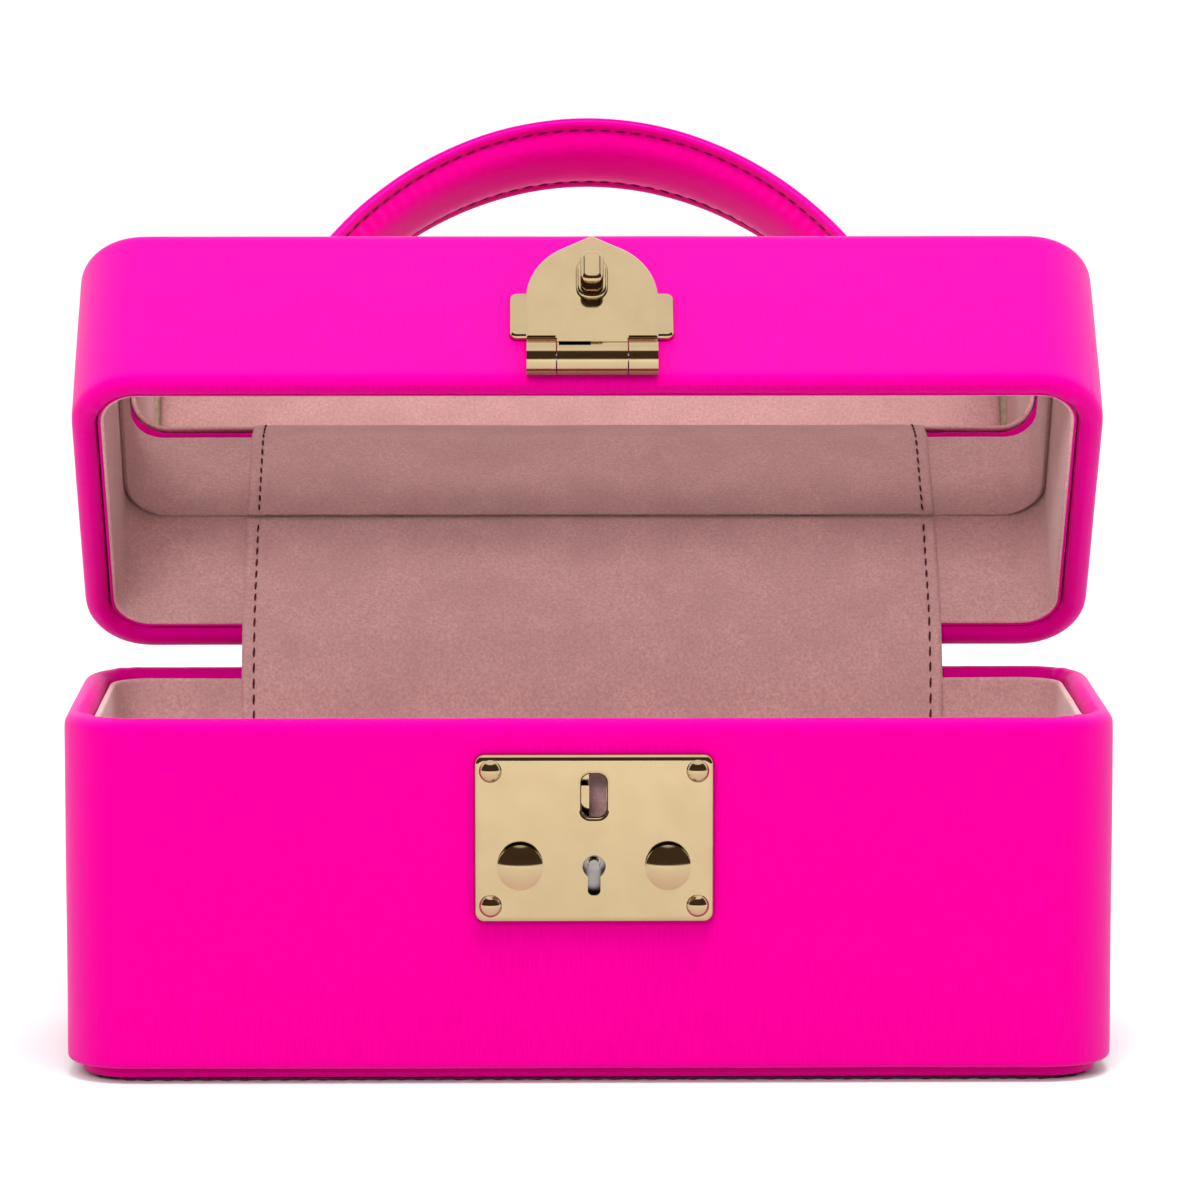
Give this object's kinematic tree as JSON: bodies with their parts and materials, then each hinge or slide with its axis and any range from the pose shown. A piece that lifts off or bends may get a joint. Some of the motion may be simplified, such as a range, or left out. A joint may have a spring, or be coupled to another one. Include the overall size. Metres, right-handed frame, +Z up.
{
  "type": "jewelry box",
  "caption": "Rectangular fabric-covered case with a hinged mirror lid, an arched strap handle, a riveted front lock with domed knobs, a sprung hasp and a suede lining.",
  "frame": {"origin": "centre of the underside of the base, on the surface the box stands on", "axes": "+Z up, +X to the right seen from the front, the front with the lock faces -Y; the lid stands open"},
  "size_m": [0.2, 0.1475, 0.1775],
  "materials": {
    "satin": "satin weave with a soft sheen",
    "suede": "short speckled nap",
    "board": "thin raw fibreboard",
    "sole_cloth": "plain lining cloth",
    "gold": "pale polished gold plate",
    "steel": "plain plated steel",
    "core": "springy plastic strip",
    "mirror": "silvered glass"
  },
  "bodies": {
    "base": {"base_wall_board": "board", "base_floor_board": "board", "bottom_panel": "satin", "sole": "sole_cloth", "base_cover": "satin", "base_wall_liner": "suede", "base_floor_pad": "suede", "lock_plate": "gold", "plate_rivets": "gold", "rivet_washers": "steel", "lock_case": "gold", "key_post": "steel", "slide_spring": "steel", "outer_strip_base": "satin", "inner_strip_base": "suede", "outer_strip_bend": "satin", "inner_strip_bend": "suede"},
    "left_bolt": {"left_slide_plate": "gold", "left_knob": "gold"},
    "right_bolt": {"right_slide_plate": "gold", "right_knob": "gold"},
    "key_lever": {"key_lever": "steel"},
    "lid": {"lid_wall_board": "board", "lid_top_board": "board", "lid_cover": "satin", "lid_wall_liner": "suede", "mirror_backing": "board", "mirror_glass": "mirror", "hasp_leaf": "gold", "leaf_rivets": "gold", "hasp_pin": "steel", "handle_core": "core", "handle_cover": "satin", "handle_anchors": "steel", "anchor_screws": "steel", "outer_strip_lid": "satin", "inner_strip_lid": "suede"},
    "hasp": {"hasp_plate": "gold", "staple": "gold", "hasp_spring": "steel"}
  },
  "joints": [
    {"name": "lid_hinge", "type": "hinge", "parent": "base", "child": "lid", "pos_m": [0, 0.041, 0.07025], "axis": [-1, 0, 0], "range_deg": [-50.5, 45], "deforming": ["outer_strip_bend", "inner_strip_bend"]},
    {"name": "hasp_hinge", "type": "hinge", "parent": "lid", "child": "hasp", "pos_m": [0, -0.00942, 0.13573], "axis": [1, 0, 0], "range_deg": [-12, 165], "stiffness_Nm_per_rad": 0.01, "springref_deg": 3.44},
    {"name": "left_bolt_slide", "type": "slide", "parent": "base", "child": "left_bolt", "axis": [-1, 0, 0], "range_m": [0, 0.0017], "stiffness_N_per_m": 300, "springref_m": -0.0006, "deforming": ["slide_spring"]},
    {"name": "right_bolt_slide", "type": "slide", "parent": "base", "child": "right_bolt", "axis": [1, 0, 0], "range_m": [0, 0.0017], "stiffness_N_per_m": 300, "springref_m": -0.0006, "deforming": ["slide_spring"]},
    {"name": "key_turn", "type": "hinge", "parent": "base", "child": "key_lever", "pos_m": [0.0008, -0.035, 0.0422], "axis": [0, 1, 0], "range_deg": [0, 90]}
  ]
}
